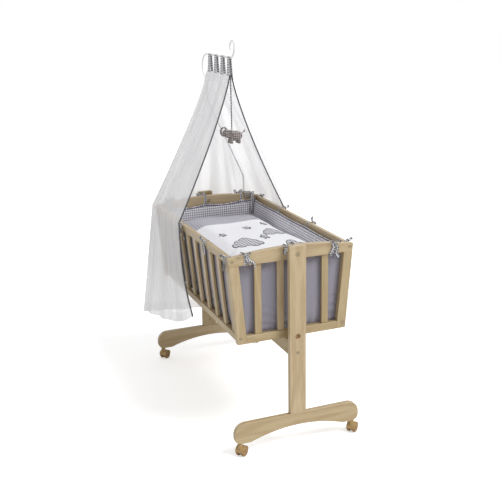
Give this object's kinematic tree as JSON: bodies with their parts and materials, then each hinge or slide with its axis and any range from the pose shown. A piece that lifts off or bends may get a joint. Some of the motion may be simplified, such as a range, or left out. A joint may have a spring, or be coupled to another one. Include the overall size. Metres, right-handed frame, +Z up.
{
  "type": "bassinet on stand",
  "caption": "Slatted wooden bassinet that rocks between two posts on a wheeled stand, with padded bedding, a sheer canopy on a bent rod and a small hanging toy.",
  "frame": {"origin": "on the floor, under the middle of the stand between its two posts", "axes": "+Z up; +X along the length towards the foot end, away from the canopy; +Y across, towards the right side seen from the foot end with the head end beyond"},
  "size_m": [1.0881, 0.6782, 1.502],
  "materials": {
    "lacquered_pine": "satin lacquer",
    "zinc_plated_steel": "zinc plated",
    "brown_plastic": "satin",
    "caster_plastic": "wood-tone moulded plastic",
    "mattress_cover": "woven cotton sheet",
    "grey_cotton": "plain and small-check cotton",
    "white_cotton": "woven cotton",
    "check_ribbon": "small-check cotton",
    "sheer_voile": "sheer voile",
    "white_coated_steel": "satin white",
    "white_plastic": "satin",
    "braided_cord": "braided",
    "dark_plush": "small-check cotton plush"
  },
  "bodies": {
    "stand": {"head_base_rail": "lacquered_pine", "foot_base_rail": "lacquered_pine", "head_post": "lacquered_pine", "foot_post": "lacquered_pine", "cross_beam": "lacquered_pine", "frame_bolts": "zinc_plated_steel", "frame_barrel_nuts": "zinc_plated_steel", "frame_dowels": "lacquered_pine", "pivot_bolts": "zinc_plated_steel", "pivot_spacers": "brown_plastic", "pivot_nuts": "zinc_plated_steel", "lock_bolts": "brown_plastic", "caster_sockets": "brown_plastic", "caster_stems": "zinc_plated_steel"},
    "cradle": {"pivot_bushes": "zinc_plated_steel", "head_top_rail": "lacquered_pine", "head_bottom_rail": "lacquered_pine", "head_stiles": "lacquered_pine", "head_slats": "lacquered_pine", "foot_top_rail": "lacquered_pine", "foot_bottom_rail": "lacquered_pine", "foot_stiles": "lacquered_pine", "foot_slats": "lacquered_pine", "left_top_rail": "lacquered_pine", "left_bottom_rail": "lacquered_pine", "left_slats": "lacquered_pine", "right_top_rail": "lacquered_pine", "right_bottom_rail": "lacquered_pine", "right_slats": "lacquered_pine", "panel_bolts": "zinc_plated_steel", "panel_barrel_nuts": "zinc_plated_steel", "panel_dowels": "lacquered_pine", "base_battens": "lacquered_pine", "base_slats": "lacquered_pine", "mattress": "mattress_cover", "head_bumper": "grey_cotton", "foot_bumper": "grey_cotton", "left_bumper": "grey_cotton", "right_bumper": "grey_cotton", "duvet": "white_cotton", "tie_bows": "check_ribbon", "canopy_rod": "white_coated_steel", "rod_clamp": "white_plastic", "clamp_screw": "zinc_plated_steel", "canopy": "sheer_voile", "canopy_tabs": "check_ribbon"},
    "toy": {"toy_cord": "braided_cord", "toy": "dark_plush"},
    "head_left_caster": {"head_left_caster_housing": "caster_plastic"},
    "head_left_wheels": {"head_left_caster_wheels": "caster_plastic", "head_left_caster_axle": "zinc_plated_steel"},
    "head_right_caster": {"head_right_caster_housing": "caster_plastic"},
    "head_right_wheels": {"head_right_caster_wheels": "caster_plastic", "head_right_caster_axle": "zinc_plated_steel"},
    "foot_left_caster": {"foot_left_caster_housing": "caster_plastic"},
    "foot_left_wheels": {"foot_left_caster_wheels": "caster_plastic", "foot_left_caster_axle": "zinc_plated_steel"},
    "foot_right_caster": {"foot_right_caster_housing": "caster_plastic"},
    "foot_right_wheels": {"foot_right_caster_wheels": "caster_plastic", "foot_right_caster_axle": "zinc_plated_steel"}
  },
  "joints": [
    {"name": "cradle_swing", "type": "hinge", "parent": "stand", "child": "cradle", "pos_m": [0, 0, 0.769], "axis": [1, 0, 0], "range_deg": [-10, 10]},
    {"name": "toy_swing", "type": "hinge", "parent": "cradle", "child": "toy", "pos_m": [-0.131, 0, 1.358], "axis": [0, 1, 0], "range_deg": [-20, 20]},
    {"name": "head_left_swivel", "type": "hinge", "parent": "stand", "child": "head_left_caster", "pos_m": [-0.506, -0.236, 0.05], "axis": [0, 0, 1], "continuous": true},
    {"name": "head_left_roll", "type": "hinge", "parent": "head_left_caster", "child": "head_left_wheels", "pos_m": [-0.51307, -0.22757, 0.0195], "axis": [0.766, 0.6428, 0], "continuous": true},
    {"name": "head_right_swivel", "type": "hinge", "parent": "stand", "child": "head_right_caster", "pos_m": [-0.506, 0.236, 0.05], "axis": [0, 0, 1], "continuous": true},
    {"name": "head_right_roll", "type": "hinge", "parent": "head_right_caster", "child": "head_right_wheels", "pos_m": [-0.51307, 0.24443, 0.0195], "axis": [0.766, 0.6428, 0], "continuous": true},
    {"name": "foot_left_swivel", "type": "hinge", "parent": "stand", "child": "foot_left_caster", "pos_m": [0.506, -0.236, 0.05], "axis": [0, 0, 1], "continuous": true},
    {"name": "foot_left_roll", "type": "hinge", "parent": "foot_left_caster", "child": "foot_left_wheels", "pos_m": [0.49893, -0.22757, 0.0195], "axis": [0.766, 0.6428, 0], "continuous": true},
    {"name": "foot_right_swivel", "type": "hinge", "parent": "stand", "child": "foot_right_caster", "pos_m": [0.506, 0.236, 0.05], "axis": [0, 0, 1], "continuous": true},
    {"name": "foot_right_roll", "type": "hinge", "parent": "foot_right_caster", "child": "foot_right_wheels", "pos_m": [0.49893, 0.24443, 0.0195], "axis": [0.766, 0.6428, 0], "continuous": true}
  ]
}
